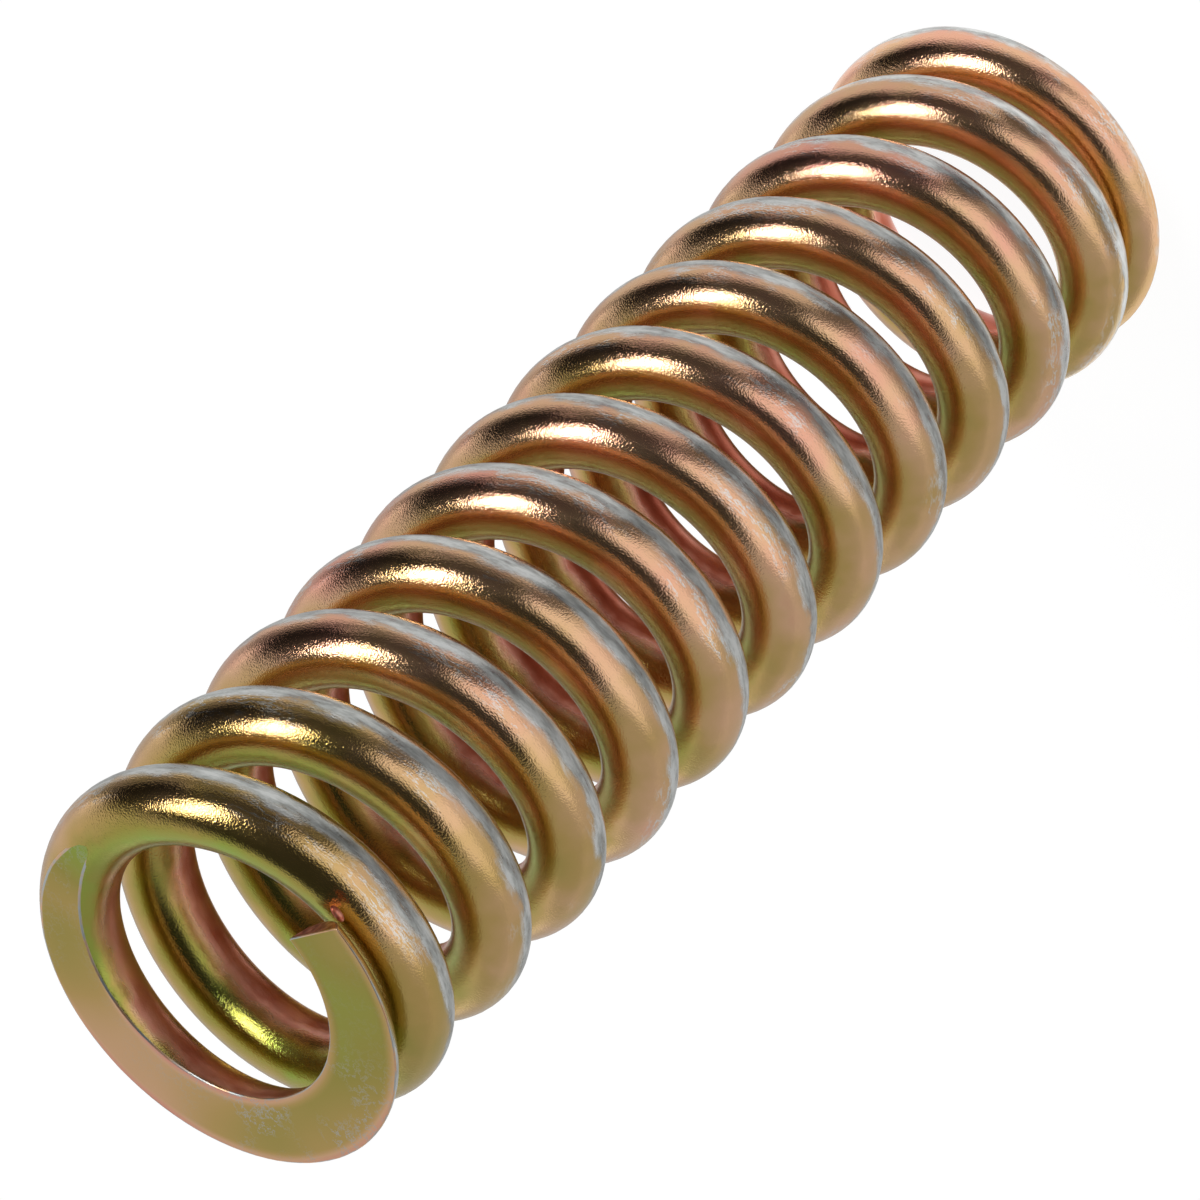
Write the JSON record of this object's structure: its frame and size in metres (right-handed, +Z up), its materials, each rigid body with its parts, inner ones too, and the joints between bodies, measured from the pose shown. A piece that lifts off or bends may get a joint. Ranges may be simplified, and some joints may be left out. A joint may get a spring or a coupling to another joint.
{
  "type": "compression spring",
  "caption": "Small open-coil compression spring of round wire, wound right-handed, with both ends closed and ground flat, in yellow-passivated zinc plate.",
  "frame": {"origin": "centre of the lower ground end, on the coil axis", "axes": "+Z up along the coil axis, +X from the axis towards the lower wire tip"},
  "size_m": [0.0164, 0.0164, 0.059],
  "materials": {
    "yellow_zinc_plate": "satin yellow chromate over zinc on spring steel wire, worn pale on the outside of the coils"
  },
  "bodies": {
    "root": {"coil_spring": "yellow_zinc_plate"}
  },
  "joints": []
}
